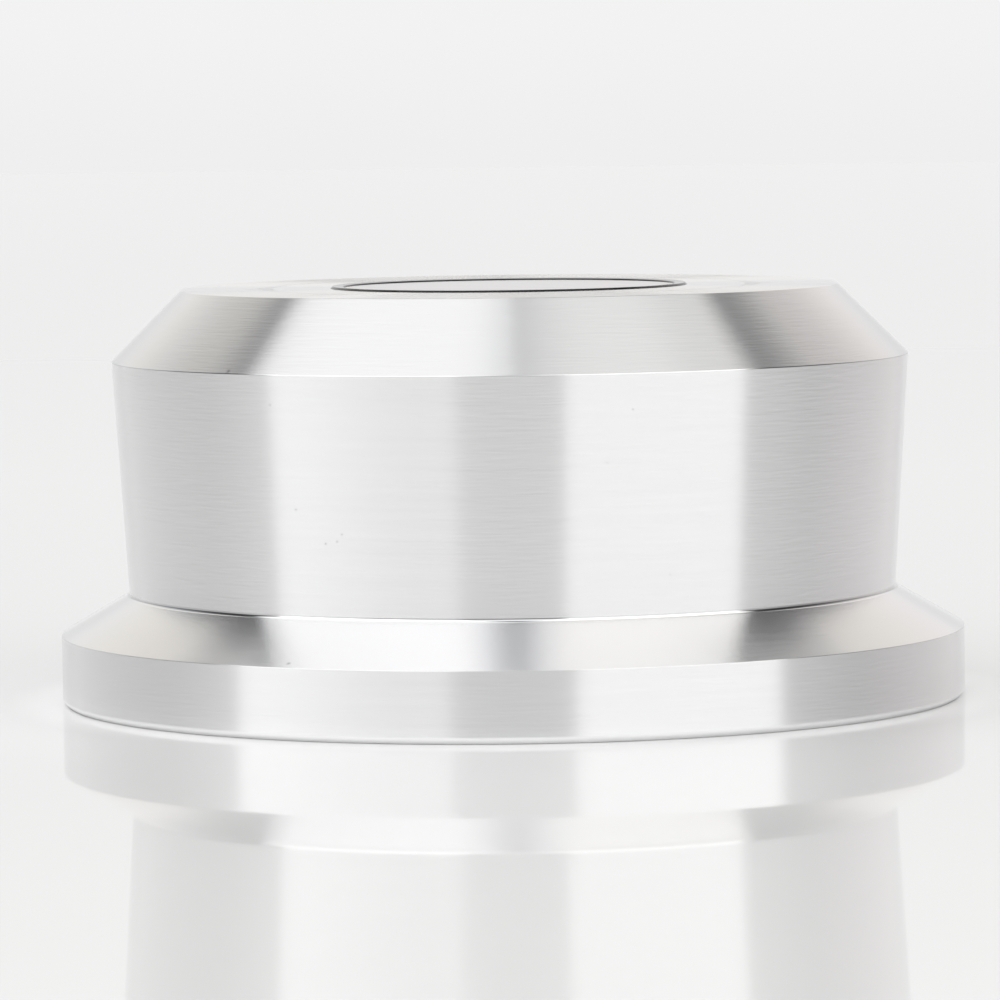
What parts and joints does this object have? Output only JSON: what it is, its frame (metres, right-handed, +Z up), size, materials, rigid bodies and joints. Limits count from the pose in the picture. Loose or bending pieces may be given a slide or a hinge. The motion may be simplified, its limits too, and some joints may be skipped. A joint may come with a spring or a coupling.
{
  "type": "record weight clamp",
  "caption": "Turned aluminium record weight: flange, cone and undercut drum with a bevelled top, an inlaid rubber ring and disc, and a blind spindle bore underneath.",
  "frame": {"origin": "centre of the plane that the weight rests on, at the underside of the base pad", "axes": "+Z up along the axis of the spindle bore; the weight is the same all round, and -Y faces the camera of the picture"},
  "size_m": [0.08, 0.08, 0.0366],
  "materials": {
    "turned_aluminium": "fine turned, bright",
    "satin_aluminium": "satin",
    "black_rubber": "satin black",
    "pad_rubber": "matt black"
  },
  "bodies": {
    "root": {"weight_body": "turned_aluminium", "rubber_ring": "black_rubber", "centre_disc": "satin_aluminium", "base_pad": "pad_rubber"}
  },
  "joints": []
}
